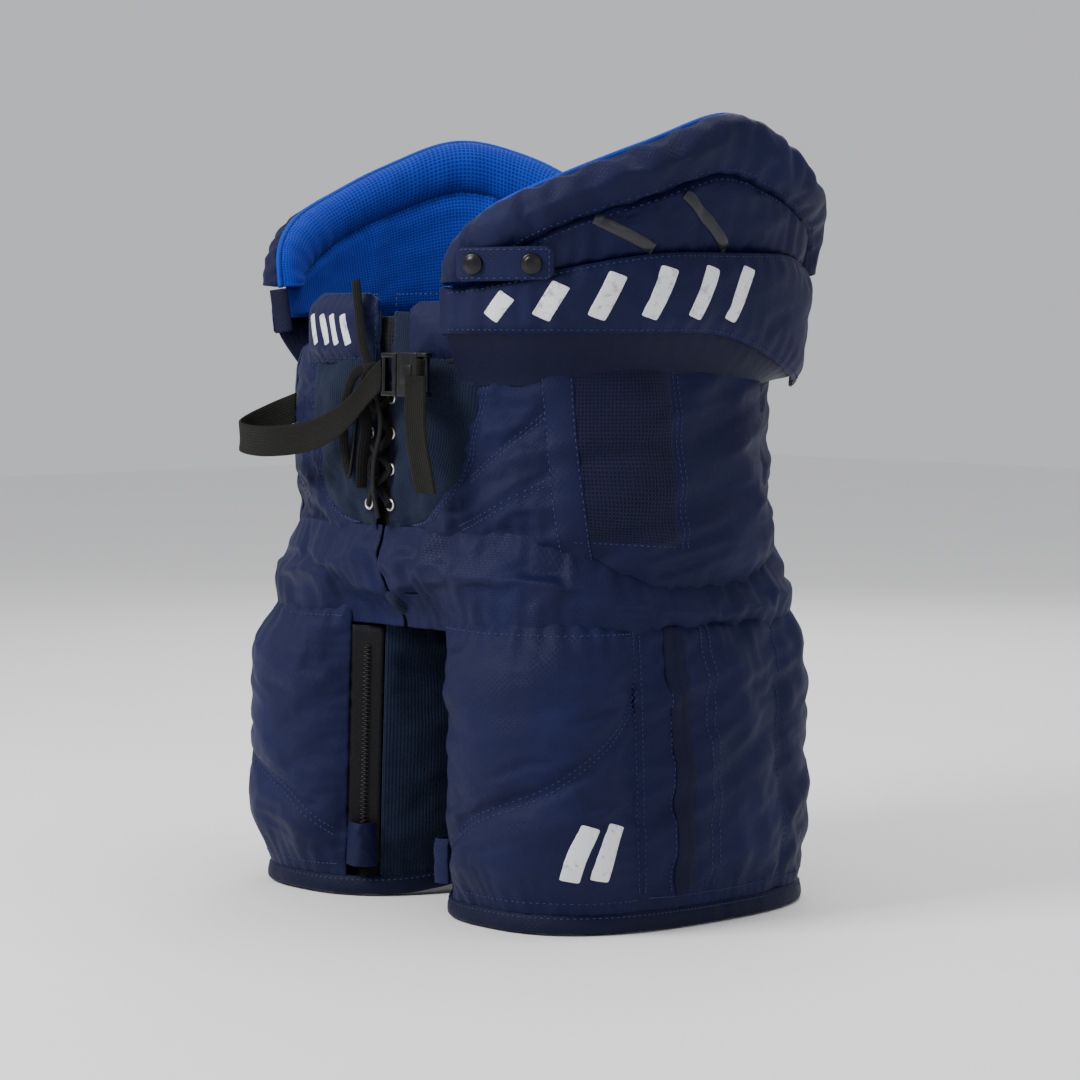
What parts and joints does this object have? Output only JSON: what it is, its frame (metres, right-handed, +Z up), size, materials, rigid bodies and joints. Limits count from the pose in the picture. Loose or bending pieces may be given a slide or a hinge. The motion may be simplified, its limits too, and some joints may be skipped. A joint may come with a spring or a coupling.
{
  "type": "hockey pants",
  "caption": "Padded ice hockey pants with hip wings, back pad, laced fly, belt with side-release buckle, and zipped inner legs.",
  "frame": {"origin": "on the floor, under the middle of the box, with the pants standing on their hems", "axes": "+Z up, -Y the way the wearer faces, +X the wearer's left"},
  "size_m": [0.4972, 0.3844, 0.6222],
  "materials": {
    "nylon_shell": "woven nylon, slight sheen",
    "knit": "stretch knit, matt",
    "plates": "moulded",
    "black_lining": "tricot, matt",
    "zip_tape": "woven tape",
    "black_plastic": "moulded, glossy",
    "eyelets": "nylon strip with plated rings",
    "blue_lining": "mesh knit",
    "lace": "braided, waxed",
    "webbing": "ribbed webbing"
  },
  "bodies": {
    "girdle": {"tongue": "knit", "seat_panel": "nylon_shell", "tailbone_guard": "plates", "crotch_gusset": "knit", "lace_a": "lace", "lace_b": "lace", "lace_bow": "lace", "belt_strap": "webbing", "belt_tail": "webbing", "buckle_socket": "black_plastic", "left_hip_panel": "nylon_shell", "left_facing": "nylon_shell", "left_hip_guard": "plates", "left_waist_panel": "nylon_shell", "left_fold_panel": "nylon_shell", "left_eyelet_strip": "eyelets", "right_hip_panel": "nylon_shell", "right_facing": "nylon_shell", "right_hip_guard": "plates", "right_waist_panel": "nylon_shell", "right_fold_panel": "nylon_shell", "right_eyelet_strip": "eyelets"},
    "left_leg": {"left_thigh_pad": "nylon_shell", "left_outer_panel": "nylon_shell", "left_inner_gusset": "knit", "left_hem_band": "nylon_shell", "left_thigh_guard": "plates", "left_leg_liner": "black_lining", "left_zip_tape": "zip_tape"},
    "left_slider": {"left_zip_slider": "black_plastic"},
    "left_pull": {"left_zip_pull": "black_plastic"},
    "left_flap": {"left_zip_flap": "nylon_shell"},
    "left_wing": {"left_wing_lining": "blue_lining", "left_wing_rim": "nylon_shell", "left_wing_inset": "nylon_shell", "left_belt_band": "nylon_shell"},
    "left_tab": {"left_snap_tab": "nylon_shell", "left_snap_cap_1": "black_plastic", "left_snap_cap_2": "black_plastic"},
    "right_leg": {"right_thigh_pad": "nylon_shell", "right_outer_panel": "nylon_shell", "right_inner_gusset": "knit", "right_hem_band": "nylon_shell", "right_thigh_guard": "plates", "right_leg_liner": "black_lining", "right_zip_tape": "zip_tape"},
    "right_slider": {"right_zip_slider": "black_plastic"},
    "right_pull": {"right_zip_pull": "black_plastic"},
    "right_flap": {"right_zip_flap": "nylon_shell"},
    "right_wing": {"right_wing_lining": "blue_lining", "right_wing_rim": "nylon_shell", "right_wing_inset": "nylon_shell", "right_belt_band": "nylon_shell"},
    "right_tab": {"right_snap_tab": "nylon_shell", "right_snap_cap_1": "black_plastic", "right_snap_cap_2": "black_plastic"},
    "back": {"back_pad": "nylon_shell", "back_lining": "blue_lining"},
    "clip": {"buckle_clip": "black_plastic"}
  },
  "joints": [
    {"name": "left_leg_swing", "type": "hinge", "parent": "girdle", "child": "left_leg", "pos_m": [0.107, -0.00643, 0.262], "axis": [-1, 0, 0], "range_deg": [-10, 20], "deforming": ["left_fold_panel", "crotch_gusset"]},
    {"name": "left_wing_flex", "type": "hinge", "parent": "girdle", "child": "left_wing", "pos_m": [0.2, -0.00643, 0.44], "axis": [0, 1, 0], "range_deg": [0, 12]},
    {"name": "left_zip_slide", "type": "slide", "parent": "left_leg", "child": "left_slider", "axis": [-0.0361, 0.0043, 0.9993], "range_m": [0, 0.145]},
    {"name": "left_zip_pull_swing", "type": "hinge", "parent": "left_slider", "child": "left_pull", "pos_m": [0.05163, -0.14305, 0.05386], "axis": [-0.7926, 0.609, -0.0313], "range_deg": [0, 15]},
    {"name": "left_flap_lift", "type": "hinge", "parent": "left_leg", "child": "left_flap", "pos_m": [0.06505, -0.1475, 0.04334], "axis": [-0.0361, 0.0043, 0.9993], "range_deg": [0, 100]},
    {"name": "left_tab_lift", "type": "hinge", "parent": "left_wing", "child": "left_tab", "pos_m": [0.18226, -0.15738, 0.50792], "axis": [0.0806, -0.085, 0.9931], "range_deg": [0, 35]},
    {"name": "right_leg_swing", "type": "hinge", "parent": "girdle", "child": "right_leg", "pos_m": [-0.107, -0.00643, 0.262], "axis": [-1, 0, 0], "range_deg": [-10, 20], "deforming": ["right_fold_panel", "crotch_gusset"]},
    {"name": "right_wing_flex", "type": "hinge", "parent": "girdle", "child": "right_wing", "pos_m": [-0.197, 0.03857, 0.44], "axis": [-0.342, -0.9397, 0], "range_deg": [0, 12]},
    {"name": "right_zip_slide", "type": "slide", "parent": "right_leg", "child": "right_slider", "axis": [0.0361, 0.0043, 0.9993], "range_m": [0, 0.145]},
    {"name": "right_zip_pull_swing", "type": "hinge", "parent": "right_slider", "child": "right_pull", "pos_m": [-0.05163, -0.14305, 0.05386], "axis": [-0.7926, -0.609, 0.0313], "range_deg": [0, 15]},
    {"name": "right_flap_lift", "type": "hinge", "parent": "right_leg", "child": "right_flap", "pos_m": [-0.06505, -0.1475, 0.04334], "axis": [-0.0361, -0.0043, -0.9993], "range_deg": [0, 100]},
    {"name": "right_tab_lift", "type": "hinge", "parent": "right_wing", "child": "right_tab", "pos_m": [-0.23947, -0.03859, 0.50892], "axis": [0.1353, 0.038, -0.9901], "range_deg": [0, 35]},
    {"name": "back_pad_flex", "type": "hinge", "parent": "girdle", "child": "back", "pos_m": [0.04, 0.15757, 0.446], "axis": [-1, 0, 0], "range_deg": [0, 12]},
    {"name": "buckle_release", "type": "slide", "parent": "girdle", "child": "clip", "axis": [-0.9988, -0.0497, -0.0042], "range_m": [0, 0.02], "deforming": ["belt_strap"]}
  ]
}
